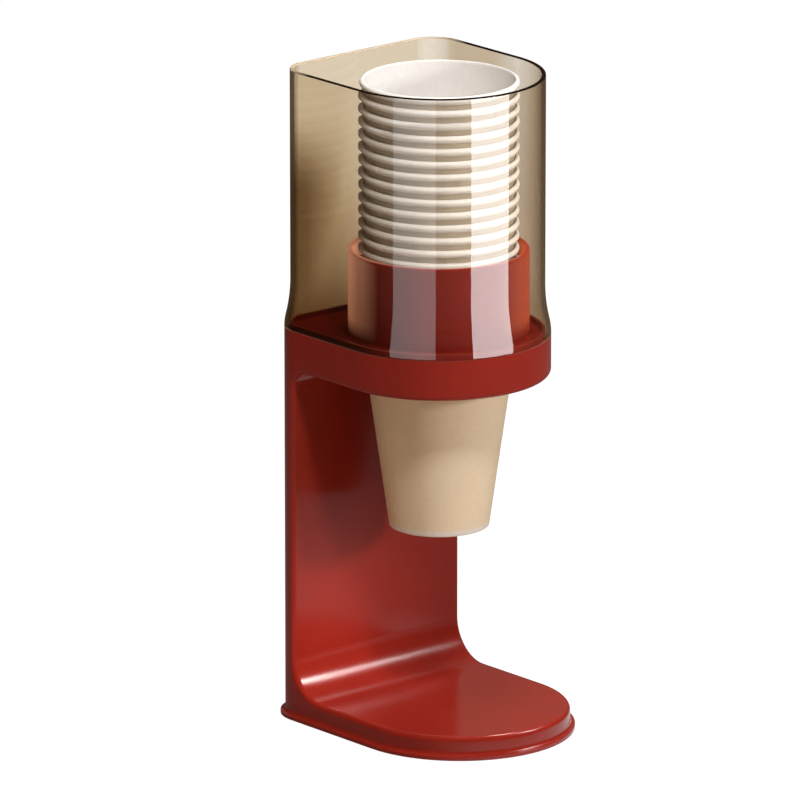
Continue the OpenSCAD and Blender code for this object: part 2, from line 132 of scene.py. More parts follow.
def new_finish(name, **constants):
    """A material with one Principled shader, whose even values are set on its own sockets."""
    made = bpy.data.materials.new(name)
    made.use_nodes = True
    shader = made.node_tree.nodes["Principled BSDF"]
    for key, value in constants.items():
        shader.inputs[key.replace("_", " ")].default_value = value
    return made, made.node_tree, shader


def link_looks(tree, shader, colour, rough, relief=None):
    """Links a finish's colour, roughness and, where it has one, bump into its shader."""
    for key, value in (("Base Color", colour), ("Roughness", rough), ("Normal", relief)):
        if value is not None:
            tree.links.new(value, shader.inputs[key])


def place(tree, stretch=(1, 1, 1)):
    """Object coordinates, stretched by a factor along each axis."""
    at = add(tree, "TexCoord").outputs["Object"]
    return add(tree, "Mapping", {"Vector": at, "Scale": stretch}).outputs["Vector"]


def place_parts(tree):
    """Object coordinates as three numbers, X, Y and Z."""
    return add(tree, "SeparateXYZ", {"Vector": place(tree)}).outputs


def grazing(tree):
    """How far along the surface the look goes, from 0 straight on to 1."""
    return add(tree, "LayerWeight", {"Blend": 0.5}).outputs["Facing"]


def noise(tree, scale, detail=2.0, rough=0.5, stretch=(1, 1, 1)):
    """Noise with scale features to the metre, as a value round one half."""
    values = {"Vector": place(tree, stretch), "Scale": scale, "Detail": detail, "Roughness": rough}
    return add(tree, "TexNoise", values).outputs["Fac"]


def tones(tree, value, stops):
    """A colour that follows the value through stops, each a place from 0 to 1 and its colour."""
    made = add(tree, "ValToRGB", {"Fac": value})
    elements = made.color_ramp.elements
    while len(elements) < len(stops):
        elements.new(0.5)
    for element, (at, colour) in zip(elements, stops):
        element.position = at
        element.color = (*colour, 1)
    return made.outputs["Color"]


def ramp(tree, value, low, high, start=0.3, end=0.7):
    """A colour that goes from low to high as the value goes from start to end."""
    return tones(tree, value, ((start, low), (end, high)))


def between(tree, value, low, high, start=0.3, end=0.7):
    """A number that goes from low to high as the value goes from start to end."""
    values = {"Value": value, "From Min": start, "From Max": end, "To Min": low, "To Max": high}
    return add(tree, "MapRange", values).outputs["Result"]


def rise(tree, value, start, end):
    """A number that goes from 0 to 1 as the value goes from start to end."""
    return between(tree, value, 0, 1, start, end)


def fall(tree, value, start, end):
    """A number that goes from 1 to 0 as the value goes from start to end."""
    return between(tree, value, 1, 0, start, end)


def maths(tree, kind, first, second=0.0):
    """The result of a Math node."""
    return add(tree, "Math", {0: first, 1: second}, operation=kind).outputs[0]


def product(tree, first, *others):
    """The product of several numbers."""
    for other in others:
        first = maths(tree, "MULTIPLY", first, other)
    return first


def blend(tree, factor, first, second, kind="MIX"):
    """Two colours mixed or multiplied by a factor."""
    values = {"Fac": factor, "Color1": first, "Color2": second}
    return add(tree, "MixRGB", values, blend_type=kind).outputs["Color"]


def bump(tree, height, depth, under=None):
    """A bump whose full height is depth metres, laid over another bump where one is given."""
    values = {"Height": height, "Distance": depth}
    if under is not None:
        values["Normal"] = under
    return add(tree, "Bump", values).outputs["Normal"]


def plain_shader(tree, kind, colour):
    """A shader of one kind, Emission, Background, BsdfDiffuse or BsdfTransparent, in one colour."""
    if not isinstance(colour, bpy.types.NodeSocket):
        colour = (*colour, 1)
    return add(tree, kind, {"Color": colour}).outputs[0]


def either(tree, share, first, second):
    """Two shaders mixed: the first where the share is 0, the second where it is 1."""
    return add(tree, "MixShader", {0: share, 1: first, 2: second}).outputs[0]


def mirrored(tree, times=1):
    """One once a look has been mirrored that many times, and zero before."""
    return maths(tree, "GREATER_THAN", add(tree, "LightPath").outputs["Glossy Depth"], times - 0.5)


def first_look(tree):
    """One for what the camera sees, also by gloss and through clear plastic, and zero for scattered light."""
    path = add(tree, "LightPath").outputs
    seen = maths(tree, "MAXIMUM", path["Is Camera Ray"], path["Is Glossy Ray"])
    seen = maths(tree, "MAXIMUM", seen, path["Is Transmission Ray"])
    return product(tree, seen, maths(tree, "LESS_THAN", path["Diffuse Depth"], 0.5))


# Finishes
# Grain of moulded plastic, and of the board under a cup's coating, in features to the metre
MOULD_GRAIN = 2600
BOARD_GRAIN = 2400
# The tube's painted sheen, an emission that stands in for reflected light: where it runs from left to right,
# and where it comes up above the deck
PAINTED_SHEEN_X = (-0.02, 0.02)
PAINTED_SHEEN_UP = (0.002, 0.010)


def moulded_red(name, low, high, sheen=None):
    """Red moulded plastic: fine spark grain, with a faint unevenness of its colour and of its gloss.

    A painted sheen, an emission of two colours from left to right, stands in for the warm light that the
    tube's sides throw back at a grazing look under the cover. It fades out down to the deck."""
    made, tree, shader = new_finish(name, Specular_IOR_Level=0.5)
    colour = ramp(tree, noise(tree, 30), low, high)
    rough = between(tree, noise(tree, 60), 0.17, 0.22)
    link_looks(tree, shader, colour, rough, bump(tree, noise(tree, MOULD_GRAIN), 0.000008))
    # Painted sheen: an emission glow, no lamp, that stands in for reflected light
    if sheen:
        at = place_parts(tree)
        tint = ramp(tree, rise(tree, at["X"], *PAINTED_SHEEN_X), *sheen, 0, 1)
        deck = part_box("dust_cover")[0].z
        above = rise(tree, at["Z"], *(deck + up for up in PAINTED_SHEEN_UP))
        strength = product(tree, above, rise(tree, grazing(tree), 0.3, 0.75))
        tree.links.new(blend(tree, 1.0, tint, strength, "MULTIPLY"), shader.inputs["Emission Color"])
        shader.inputs["Emission Strength"].default_value = 1.0
    return made


# The clear cover's colour in its front and back halves, by how far along the wall the look goes. The back
# half's is darker, as painted shade
COVER_FRONT = ((0.0, (0.95, 0.94, 0.92)), (0.1, (0.93, 0.90, 0.86)), (0.3, (0.91, 0.84, 0.73)),
               (0.6, (0.66, 0.53, 0.37)), (1.0, (0.42, 0.31, 0.19)))
COVER_BACK_TINT_AND_SHADE = ((0.0, (0.95, 0.86, 0.74)), (0.12, (0.85, 0.75, 0.60)), (0.24, (0.66, 0.53, 0.35)),
              (0.38, (0.68, 0.54, 0.36)), (0.65, (0.46, 0.33, 0.19)), (1.0, (0.24, 0.16, 0.08)))
# The colours of its painted light and its painted shade
COVER_PAINTED_LIGHT = (0.97, 0.94, 0.88, 1)
COVER_PAINTED_SHADE = (0.34, 0.25, 0.16, 1)
# Where its painted light and painted shade come or go: X and Y in metres, LOW as a share of its height from
# the top edge down.
# MOST is the most that each reaches.
BACK_HALF_Y = (0, 0.02)
PAINTED_LIGHT_X = (-0.05, -0.04)
PAINTED_LIGHT_LOW = (0.1, 0.45)
PAINTED_LIGHT_MOST = 0.6
CORNER_SHADE_X = (0, 0.035)
CORNER_SHADE_Y = (0.01, 0.04)
CORNER_SHADE_LOW = (0.2, 0.45)
CORNER_SHADE_MOST = 0.75
FOOT_SHADE_Y = (-0.03, 0)
FOOT_SHADE_POWER = 2.5
FOOT_SHADE_MOST = 0.95
RIGHT_SHADE_X = (0.034, HALF_W - 0.001)
RIGHT_SHADE_FOOT = 0.85
RIGHT_SHADE_TOP = 0.35


def smoked_clear():
    """Clear smoked plastic, browner at a grazing look, with painted shade in its back half, and with flow
    marks.

    Its further painted light and shade are products of ramps over places and over low, which is 0 at the top
    edge and 1 at the foot. Painted light pales the left end in its upper part. Painted shade deepens the back
    corners in their lower part, all but the front towards the foot, by a power of low, and the right end all
    the way up, most at its foot. Where these three painted shades meet, the deepest counts.
    Light passes it with a faint tint, which keeps the shade that it throws pale. Light that has gone to
    and fro inside the wall three times is replaced by a painted brown glow, an emission that is no lamp."""
    made, tree, shader = new_finish("smoked_clear", Transmission_Weight=1.0, IOR=1.49)
    at = place_parts(tree)
    along = grazing(tree)
    behind = rise(tree, at["Y"], *BACK_HALF_Y)
    look = blend(tree, behind, tones(tree, along, COVER_FRONT), tones(tree, along, COVER_BACK_TINT_AND_SHADE))
    foot, top = (corner.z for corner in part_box("dust_cover"))
    low = fall(tree, at["Z"], foot, top)
    # Painted light: the upper left end is paler
    upper = between(tree, low, PAINTED_LIGHT_MOST, 0, *PAINTED_LIGHT_LOW)
    look = blend(tree, product(tree, fall(tree, at["X"], *PAINTED_LIGHT_X), upper), look, COVER_PAINTED_LIGHT)
    # Painted shade: the back corners, the sides towards the foot and the right end are darker
    to_side = rise(tree, maths(tree, "ABSOLUTE", at["X"]), *CORNER_SHADE_X)
    to_back = rise(tree, at["Y"], *CORNER_SHADE_Y)
    lower = between(tree, low, 0, CORNER_SHADE_MOST, *CORNER_SHADE_LOW)
    corners = product(tree, to_side, to_back, lower)
    not_front = between(tree, at["Y"], 0, FOOT_SHADE_MOST, *FOOT_SHADE_Y)
    foot_shade = product(tree, not_front, maths(tree, "POWER", low, FOOT_SHADE_POWER))
    to_right = rise(tree, at["X"], *RIGHT_SHADE_X)
    right_shade = product(tree, to_right, between(tree, at["Z"], RIGHT_SHADE_FOOT, RIGHT_SHADE_TOP, foot, top))
    painted_shade = maths(tree, "MAXIMUM", maths(tree, "MAXIMUM", corners, foot_shade), right_shade)
    look = blend(tree, painted_shade, look, COVER_PAINTED_SHADE, "MULTIPLY")
    flow = noise(tree, 30, stretch=(1, 1, 0.3))
    link_looks(tree, shader, look, between(tree, noise(tree, 40), 0.008, 0.02), bump(tree, flow, 0.00005))
    # A painted brown glow, no lamp, in place of light trapped in the wall
    brown = plain_shader(tree, "Emission", (0.30, 0.21, 0.12))
    body = either(tree, mirrored(tree, 3), shader.outputs[0], brown)
    shade = plain_shader(tree, "BsdfTransparent", (0.92, 0.90, 0.87))
    mixed = either(tree, add(tree, "LightPath").outputs["Is Shadow Ray"], body, shade)
    tree.links.new(mixed, tree.nodes["Material Output"].inputs["Surface"])
    return made


def smoked_edge():
    """The top edge of the cover, in painted shade and light: near-black brown in front, where it shows the
    wall's whole depth, and paler at the back, where light comes in behind it."""
    made, tree, shader = new_finish("smoked_edge", Specular_IOR_Level=0.2)
    # Painted shade in front and painted light at the back
    front, back = (0.008, 0.005, 0.003), (0.55, 0.44, 0.31)
    round_corner = (CORNER_Y - 0.008, CORNER_Y + 0.01)
    colour = ramp(tree, rise(tree, place_parts(tree)["Y"], *round_corner), front, back, 0, 1)
    link_looks(tree, shader, colour, between(tree, noise(tree, 900), 0.12, 0.25))
    return made


def cup_paper(name, low, high, rough_low, rough_high):
    """Coated paper board: fibre clouds in its colour, and the fine grain of the board under its coating."""
    made, tree, shader = new_finish(name, Specular_IOR_Level=0.35)
    fibre = noise(tree, 420, 4, 0.6)
    rough = between(tree, noise(tree, 150), rough_low, rough_high)
    grain = bump(tree, noise(tree, BOARD_GRAIN), 0.000012, bump(tree, fibre, 0.00003))
    link_looks(tree, shader, ramp(tree, fibre, low, high), rough, grain)
    return made


def plain_moulding(name, low, high, rough, specular=0.5):
    """A small moulded part: faint clouds in its colour and a fine grain."""
    made, tree, shader = new_finish(name, Specular_IOR_Level=specular)
    colour = ramp(tree, noise(tree, 90, 3), low, high)
    gloss = between(tree, noise(tree, 200), rough - 0.05, rough + 0.05)
    link_looks(tree, shader, colour, gloss, bump(tree, noise(tree, MOULD_GRAIN), 0.00002))
    return made


def bright_steel(name, low, high, rough):
    """Plated or drawn steel: fine tool marks across z and a little colour from the plating."""
    made, tree, shader = new_finish(name, Metallic=1.0)
    marks = noise(tree, 900, 3, stretch=(1, 1, 8))
    colour = ramp(tree, noise(tree, 400, 3), low, high)
    gloss = between(tree, marks, rough - 0.06, rough + 0.08)
    link_looks(tree, shader, colour, gloss, bump(tree, marks, 0.000015))
    return made


RED = moulded_red("moulded_red", (0.270, 0.0170, 0.0100), (0.294, 0.019, 0.0115))
# The tube's red: the stand's red at about two thirds of its brightness
DEEP_RED = moulded_red("deep_red", (0.175, 0.0105, 0.0065), (0.192, 0.012, 0.0075),
                       ((0.60, 0.30, 0.20), (0.37, 0.075, 0.03)))
SMOKED = smoked_clear()
SMOKED_EDGE = smoked_edge()
CUP_PRINT = cup_paper("cup_print", (0.775, 0.66, 0.49), (0.815, 0.705, 0.535), 0.42, 0.52)
# The neck's print: darker, as painted shade under the rim
CUP_NECK_SHADE = cup_paper("cup_neck_shade", (0.44, 0.375, 0.29), (0.49, 0.42, 0.33), 0.45, 0.55)
CUP_WHITE = cup_paper("cup_white", (0.745, 0.725, 0.695), (0.785, 0.765, 0.74), 0.40, 0.50)
ACETAL = plain_moulding("acetal", (0.74, 0.71, 0.63), (0.79, 0.76, 0.69), 0.38)
DARK = plain_moulding("dark_moulding", (0.025, 0.025, 0.026), (0.04, 0.04, 0.041), 0.5)
RUBBER = plain_moulding("pad_rubber", (0.018, 0.018, 0.018), (0.03, 0.03, 0.03), 0.75, 0.3)
ZINC = bright_steel("zinc", (0.55, 0.55, 0.54), (0.66, 0.67, 0.68), 0.32)
WIRE = bright_steel("spring_wire", (0.50, 0.50, 0.52), (0.60, 0.60, 0.62), 0.28)

CAD_FINISH = {
    "stand_shell": RED, "back_cover": RED, "cup_tube": DEEP_RED, "lever_carrier": ACETAL,
    "base_plate": DARK, "anti_slip_pads": RUBBER, "back_cover_screws": ZINC,
    "base_screws": ZINC, "deck_screws": ZINC, "carrier_screws": ZINC,
}
for number in range(1, LEVERS + 1):
    CAD_FINISH[f"lever_{number}"] = ACETAL
    CAD_FINISH[f"lever_pin_{number}"] = ZINC
for name, finish in CAD_FINISH.items():
    cad_nodes[name].data.materials.clear()
    cad_nodes[name].data.materials.append(finish)


# Surfaces
def surface(name, rows, finishes, row_finish=None, ring=False):
    """A closed mesh from rows of points, an array of row, point and coordinate.

    Each row closes on itself, and each row joins the next. As a ring, the last row joins the first.
    Otherwise the first and the last row are single points, drawn from their means, where fans close
    the surface. row_finish gives each band of faces the number of its finish. The sum of the faces'
    signed volumes tells which way they point, and all are turned over where it is negative."""
    count, width = rows.shape[:2]
    j = np.arange(width)
    after = (j + 1) % width
    if ring:
        points = rows.reshape(-1, 3)
        low = (np.arange(count) * width)[:, None]
        high = (np.roll(np.arange(count), -1) * width)[:, None]
        quads = np.stack([low + j, low + after, high + after, high + j], axis=2).reshape(-1, 4)
        fans = np.zeros((0, 3), int)
        quad_band = np.repeat(np.arange(count), width)
        fan_band = np.zeros(0, int)
    else:
        ends = rows[[0, -1]].mean(axis=1)
        points = np.concatenate([rows[1:-1].reshape(-1, 3), ends])
        inner = count - 2
        low = (np.arange(inner - 1) * width)[:, None]
        quads = np.stack([low + j, low + after, low + width + after, low + width + j], axis=2).reshape(-1, 4)
        first, last = inner * width, inner * width + 1
        top = (inner - 1) * width
        fans = np.concatenate([
            np.stack([np.full(width, first), after, j], axis=1),
            np.stack([np.full(width, last), top + j, top + after], axis=1),
        ])
        quad_band = np.repeat(np.arange(1, inner), width)
        fan_band = np.repeat([0, count - 2], width)
    a, b, c, d = (points[quads[:, k]] for k in range(4))
    signed = np.einsum("ij,ij->i", a, np.cross(b, c) + np.cross(c, d)).sum()
    if signed < 0:
        quads, fans = quads[:, ::-1], fans[:, ::-1]
    mesh = bpy.data.meshes.new(name)
    mesh.from_pydata(points.tolist(), [], quads.tolist() + fans.tolist())
    for finish in finishes:
        mesh.materials.append(finish)
    if row_finish is not None:
        bands = np.concatenate([quad_band, fan_band])
        mesh.polygons.foreach_set("material_index", np.asarray(row_finish, np.int32)[bands])
    mesh.polygons.foreach_set("use_smooth", np.ones(len(mesh.polygons), bool))
    mesh.update()
    made = bpy.data.objects.new(name, mesh)
    bpy.context.scene.collection.objects.link(made)
    return made


def arc(centre, radii, start, end, steps):
    """Points of an ellipse's arc, from one angle to another in degrees, as pairs."""
    angle = np.radians(np.linspace(start, end, steps + 1))
    return np.stack([centre[0] + radii[0] * np.cos(angle), centre[1] + radii[1] * np.sin(angle)], axis=1)


def body_outline():
    """The body's plan as centres, radii and outward directions, once round from the left side's front.

    A point is its centre plus its radius along its direction. The nose is a half circle, the sides
    and the back are straight, and a quarter circle joins each side to the back."""
    def stretch(c0, c1, radius, a0, a1, steps):
        share = np.arange(steps) / steps
        centres = np.outer(1 - share, c0) + np.outer(share, c1)
        angle = np.radians(a0 + share * (a1 - a0))
        return centres, np.full(steps, radius), np.stack([np.cos(angle), np.sin(angle)], axis=1)

    nose, back = (0, AXIS_Y), (0, CORNER_Y)
    right, left = (CORNER_X, CORNER_Y), (-CORNER_X, CORNER_Y)
    parts = [
        stretch(nose, nose, HALF_W, 180, 360, 144),
        stretch(nose, back, HALF_W, 0, 0, 8),
        stretch(right, right, BACK_CORNER, 0, 90, 36),
        stretch(right, left, BACK_CORNER, 90, 90, 10),
        stretch(left, left, BACK_CORNER, 90, 180, 36),
        stretch(back, nose, HALF_W, 180, 180, 8),
    ]
    return tuple(np.concatenate(group) for group in zip(*parts))


def flare(height):
    """The cover's inset at a height, in mm: two arcs, bending in and back, that meet smoothly.

    The first has a quarter of their summed radii, the second the rest."""
    turn = 2 * math.atan(COVER_INSET / FLARE_H)
    total = FLARE_H / math.sin(turn)
    first, second = 0.25 * total, 0.75 * total
    left = np.clip(FLARE_H - height, 0, None)
    lower = first - np.sqrt(first ** 2 - np.clip(height, 0, first * math.sin(turn)) ** 2)
    upper = COVER_INSET - second + np.sqrt(second ** 2 - left ** 2)
    return np.where(height < first * math.sin(turn), lower, upper)


def dust_cover():
    """The clear cover: a profile of inset and height, carried round the body's outline.

    It goes up the flared outer face, over the rounded top edge and down the inner face, one wall in. Close
    rows below the edge keep its soft shading off the flat wall, which would bend what is seen through it."""
    low, high = (corner.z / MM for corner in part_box("dust_cover"))
    tall = high - low
    edge = tall - EDGE_ROUND
    rounding = (EDGE_ROUND, EDGE_ROUND)
    foot_bevel, foot_lift = 0.25, 0.03
    up = np.concatenate([[foot_bevel], np.linspace(1, FLARE_H, 24), [60.0, tall - 1, tall - 0.6, edge]])
    outer = np.stack([flare(up), up], axis=1)
    over = np.concatenate([
        arc((COVER_INSET + EDGE_ROUND, edge), rounding, 180, 90, 4)[1:],
        arc((COVER_INSET + COVER_WALL - EDGE_ROUND, edge), rounding, 90, 0, 4)[:-1],
    ])
    inner = outer[::-1] + [COVER_WALL, 0]
    under = np.array([[COVER_WALL - foot_bevel, foot_lift], [foot_bevel, foot_lift]])
    profile = np.concatenate([outer, over, inner, under])
    band = np.zeros(len(profile), int)
    band[len(outer) - 1:len(outer) + len(over)] = 1
    centres, radii, outward = body_outline()
    reach = radii[None, :] - profile[:, 0, None] * MM
    flat = centres[None] + reach[..., None] * outward[None]
    height = np.broadcast_to(low * MM + profile[:, 1, None] * MM, reach.shape)
    rows = np.concatenate([flat, height[..., None]], axis=2)
    made = surface("clear_cover", rows, [SMOKED, SMOKED_EDGE], band, ring=True)
    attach(made, "dust_cover")
    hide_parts("dust_cover")


def cup(name, node, body, seam):
    """A paper cup, turned from a profile of radius and height in mm.

    From the middle of the floor's underside it goes down the folded heel, up the sloping wall, round
    the rolled rim, down the inside and over the floor. Where the board overlaps itself, at the angle of the
    seam, the outside steps out by SEAM_STEP and falls back to nothing once round; the rim steps in by half
    as much. The print is darker on the neck, the band under the rim: painted shade, where the rim overhangs
    it."""
    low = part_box(node)[0].z
    slope = (CUP_MOUTH_R - CUP_FOOT_R) / CUP_H
    fold_r, fold_z = 0.45, 0.35
    fold_in = CUP_FOOT_R - 2 * fold_r
    floor_top = FLOOR_Z + BOARD
    corner_r = 0.8
    roll_r, roll_z = 0.7, 1.4
    seam_width, sides = 0.012, 128

    def wall(height):
        return CUP_FOOT_R + slope * height

    under = np.array([
        [0, FLOOR_Z], [12, FLOOR_Z], [fold_in - 1, FLOOR_Z], [fold_in - 0.3, FLOOR_Z - 0.15],
        [fold_in, FLOOR_Z - 0.6], [fold_in, 0.5], [fold_in + 0.05, 0.2],
    ])
    heel = arc((CUP_FOOT_R - fold_r, fold_z), (fold_r, fold_z), -150, -30, 4)
    heights = np.array([fold_z, 1.5, PRINT_Z, 2.9, 12, 30, 50, 68, NECK_SHADE_Z, 84.4])
    outer = np.stack([wall(heights), heights], axis=1)
    rim = arc((CUP_MOUTH_R, CUP_H - RIM_HALF_H), (RIM_OUT, RIM_HALF_H), -107, 90, 18)
    lip = arc((CUP_MOUTH_R, CUP_H - roll_z), (roll_r, roll_z), 90, 180, 6)[1:]
    down = np.array([84, 75, 60, 45, 30, 12, 7])
    inner = np.stack([wall(down) - BOARD, down], axis=1)
    corner_at = (wall(floor_top) - BOARD - corner_r, floor_top + corner_r)
    corner = arc(corner_at, (corner_r, corner_r), -5, -90, 4)
    floor = np.array([[12, floor_top], [0, floor_top]])
    profile = np.concatenate([under, heel, outer, rim, lip, inner, corner, floor])
    first_out = len(under) + len(heel)
    last_out = first_out + len(outer)
    step = np.zeros(len(profile))
    step[first_out - 1:last_out] = 1
    step[last_out:last_out + len(rim)] = -0.5
    band = np.zeros(len(profile), int)
    # Finish 2 is the neck's painted shade
    band[first_out:last_out - 1] = (heights[:-1] >= PRINT_Z).astype(int) + (heights[:-1] >= NECK_SHADE_Z)
    turn = np.concatenate([[0.0], np.linspace(seam_width, 2 * math.pi, sides, endpoint=False)])
    overlap = np.where(turn > 0, 1 - turn / (2 * math.pi), 0)
    out = np.where(step[:, None] > 0, overlap[None], overlap[None] - 1)
    radius = (profile[:, 0, None] + SEAM_STEP * np.abs(step)[:, None] * out) * MM
    angle = turn + seam
    rows = np.stack([
        radius * np.cos(angle), radius * np.sin(angle) + AXIS_Y,
        np.broadcast_to(low + profile[:, 1, None] * MM, radius.shape),
    ], axis=2)
    made = surface(name, rows, [CUP_WHITE, CUP_PRINT, CUP_NECK_SHADE], band)
    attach(made, body)
    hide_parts(node)


def lever_spring(number):
    """A torsion spring of round wire: a circle carried along a leg, a coil and a leg.

    The coil lies round the lever's pin. A point of it is the pin's centre plus the coil's radius,
    turned evenly, and moves evenly along the pin. The legs run straight on from the coil's ends: the first
    to the lever's toe, the last up to the stand. Points have x outwards from the cup axis and y along the pin,
    until they are turned to the lever's station."""
    steps = int(STEPS_A_TURN * COIL_TURNS)
    angle = np.radians(-90) + np.linspace(0, 2 * math.pi * COIL_TURNS, steps + 1)
    away = np.stack([np.cos(angle), 0 * angle, np.sin(angle)], axis=1)
    along = COIL_START + COIL_RISE * (angle - angle[0]) / (2 * math.pi)
    coil = COIL_R * away + along[:, None] * [0, 1, 0]
    share = np.linspace(0, 1, LEG_STEPS + 1)[:, None]
    toe_leg = coil[0] + (1 - share[:-1]) * [TOE_LEG_END - PIN_R, 0, 0]
    stop_leg = coil[-1] + share[1:] * [0, 0, STOP_LEG_END - PIN_Z]
    line = np.concatenate([toe_leg, coil, stop_leg])
    out = np.concatenate([away[:1].repeat(len(toe_leg), 0), away, away[-1:].repeat(len(stop_leg), 0)])
    ring = np.linspace(0, 2 * math.pi, WIRE_SIDES, endpoint=False)
    circle = np.cos(ring)[None, :, None] * out[:, None] + np.sin(ring)[None, :, None] * np.array([0, 1, 0])
    tube = line[:, None] + WIRE_R * circle
    caps = line[[0, -1], None].repeat(WIRE_SIDES, 1)
    rows = np.concatenate([caps[:1], tube, caps[1:]])
    station = math.radians(FIRST_LEVER_DEG + 360 / LEVERS * (number - 1))

    def at_station(points):
        x, y, z = points[..., 0] + PIN_R, points[..., 1], points[..., 2] + PIN_Z
        return np.stack([
            x * math.cos(station) - y * math.sin(station),
            x * math.sin(station) + y * math.cos(station) + AXIS_Y / MM,
            z,
        ], axis=-1) * MM

    made = surface(f"torsion_spring_{number}", at_station(rows), [WIRE])
    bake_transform(made)
    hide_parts(f"lever_spring_{number}")


# The stacked cups lie with their seams turned on from one to the next by SEAM_TURN radians
STACK_CUPS = 21
SEAM_TURN = 2.4

dust_cover()
cup("paper_cup_hanging", "hanging_cup", "pulled_cup", math.radians(70))
for number in range(1, STACK_CUPS + 1):
    cup(f"paper_cup_{number:02d}", f"cup_{number:02d}", "cup_stack", SEAM_TURN * number)
for number in range(1, LEVERS + 1):
    lever_spring(number)


# Floor, sky and lamps
# What reflections see, away from the cards: a dim warm screen and sky, and the glow of the light painted on
# the floor
SCREEN_GLOW = (0.05, 0.03, 0.018)
SCREEN_R = 0.75
SCREEN_H = 1.3
SCREEN_SIDES = 96
FLOOR_GLOW = (0.70, 0.70, 0.70)
FLOOR_HALF = 12.0
# Where the floor's painted light comes to that glow or goes from it, in metres from the cup axis: a pool
# before the column, by two level ways, and a patch by the foot, by its distance and the way to the right
PAINTED_POOL_ALONG = ((-0.02, 0.02), (0.27, 0.33))
PAINTED_POOL_BESIDE = ((-0.022, -0.012), (-0.012, 0.035))
PAINTED_PATCH_AWAY = (0.08, 0.11)
PAINTED_PATCH_RIGHT = (-0.01, 0.03)


def set_piece(name, points, faces, look):
    """A piece of the set round the object: a mesh, in a material whose shader the function look makes."""
    made = bpy.data.materials.new(name)
    made.use_nodes = True
    tree = made.node_tree
    tree.nodes.remove(tree.nodes["Principled BSDF"])
    tree.links.new(look(tree), tree.nodes["Material Output"].inputs["Surface"])
    mesh = bpy.data.meshes.new(name)
    mesh.from_pydata(points, [], faces)
    mesh.materials.append(made)
    piece = bpy.data.objects.new(name, mesh)
    bpy.context.scene.collection.objects.link(piece)
    return piece


def floor_look(tree):
    """To the camera nearly white with the object's soft shade on it, and to scattered light a warm tan.

    In reflections it is as dim as the screen, but for painted light: a pale glowing pool before the column
    and a patch by the foot's right half, which the stand shows as painted reflections. The pool's ways are
    along, the way a look from the camera goes on from the column's face, and beside, at right angles to it.
    Each ramp is a number from 0 to 1, and their product is the pool's or the patch's share."""
    at = add(tree, "TexCoord").outputs["Object"]
    off = add(tree, "VectorMath", {0: at, 1: (0, AXIS_Y, 0)}, operation="SUBTRACT").outputs[0]

    def way(direction):
        return add(tree, "VectorMath", {0: off, 1: direction}, operation="DOT_PRODUCT").outputs["Value"]

    along = way((-TO_CAMERA.x, TO_CAMERA.y, 0))
    beside = way((-TO_CAMERA.y, -TO_CAMERA.x, 0))
    away = add(tree, "VectorMath", {0: off}, operation="LENGTH").outputs["Value"]
    # The pool and the patch are painted light, a glow that only reflections show
    reach = product(tree, rise(tree, along, *PAINTED_POOL_ALONG[0]), fall(tree, along, *PAINTED_POOL_ALONG[1]))
    pool = product(tree, reach, fall(tree, beside, *PAINTED_POOL_BESIDE[1]), rise(tree, beside, *PAINTED_POOL_BESIDE[0]))
    patch = product(tree, fall(tree, away, *PAINTED_PATCH_AWAY), rise(tree, way(TO_RIGHT), *PAINTED_PATCH_RIGHT))
    pale = maths(tree, "MAXIMUM", pool, patch)
    glow = blend(tree, mirrored(tree), (0.96, 0.965, 0.97, 1), ramp(tree, pale, SCREEN_GLOW, FLOOR_GLOW, 0, 1))
    shade = plain_shader(tree, "BsdfDiffuse", (0.12, 0.12, 0.12))
    seen = add(tree, "AddShader", {0: shade, 1: plain_shader(tree, "Emission", glow)}).outputs[0]
    plain = plain_shader(tree, "BsdfDiffuse", (0.52, 0.41, 0.31))
    return either(tree, first_look(tree), plain, seen)


def pale_floor():
    """A square of floor, wide enough to fill the picture."""
    corners = [(x * FLOOR_HALF, y * FLOOR_HALF, 0) for x, y in ((-1, -1), (1, -1), (1, 1), (-1, 1))]
    floor = set_piece("floor", corners, [(0, 1, 2, 3)], floor_look)


def screen_look(tree):
    """An even dim glow."""
    return plain_shader(tree, "Emission", SCREEN_GLOW)


def dark_screen():
    """A dim warm screen that only gloss shows: an upright cylinder round the cup axis, up from the floor.

    It stands between the lamps' cards and the pale floor beyond, as a studio's dark flags do."""
    j = np.arange(SCREEN_SIDES)
    after = (j + 1) % SCREEN_SIDES
    turn = 2 * math.pi * j / SCREEN_SIDES
    ring = np.stack([SCREEN_R * np.cos(turn), SCREEN_R * np.sin(turn) + AXIS_Y], axis=1)
    points = np.concatenate([np.c_[ring, np.full(SCREEN_SIDES, height)] for height in (0.0, SCREEN_H)])
    faces = np.stack([j, after, after + SCREEN_SIDES, j + SCREEN_SIDES], axis=1)
    screen = set_piece("dark_screen", points.tolist(), faces.tolist(), screen_look)
    screen.visible_camera = screen.visible_diffuse = screen.visible_transmission = False
    screen.visible_shadow = screen.visible_volume_scatter = False


def sky():
    """White to the eye, dim in reflections, and a warm dim light on every surface."""
    world = bpy.data.worlds.new("sky")
    world.use_nodes = True
    tree = world.node_tree
    tree.nodes.clear()
    tone = blend(tree, mirrored(tree), (1, 1, 1, 1), (*SCREEN_GLOW, 1))
    warm = plain_shader(tree, "Background", (0.10, 0.06, 0.035))
    mixed = either(tree, first_look(tree), warm, plain_shader(tree, "Background", tone))
    tree.links.new(mixed, add(tree, "OutputWorld").inputs["Surface"])
    world.cycles.sampling_method = "NONE"
    bpy.context.scene.world = world


def round_spot(turn, rise_by, distance, middle):
    """The point at a distance from a middle: turned to the camera's right, and raised, by so many degrees."""
    t, r = math.radians(turn), math.radians(rise_by)
    level = TO_CAMERA * math.cos(t) + TO_RIGHT * math.sin(t)
    return middle + distance * (level * math.cos(r) + UP * math.sin(r))


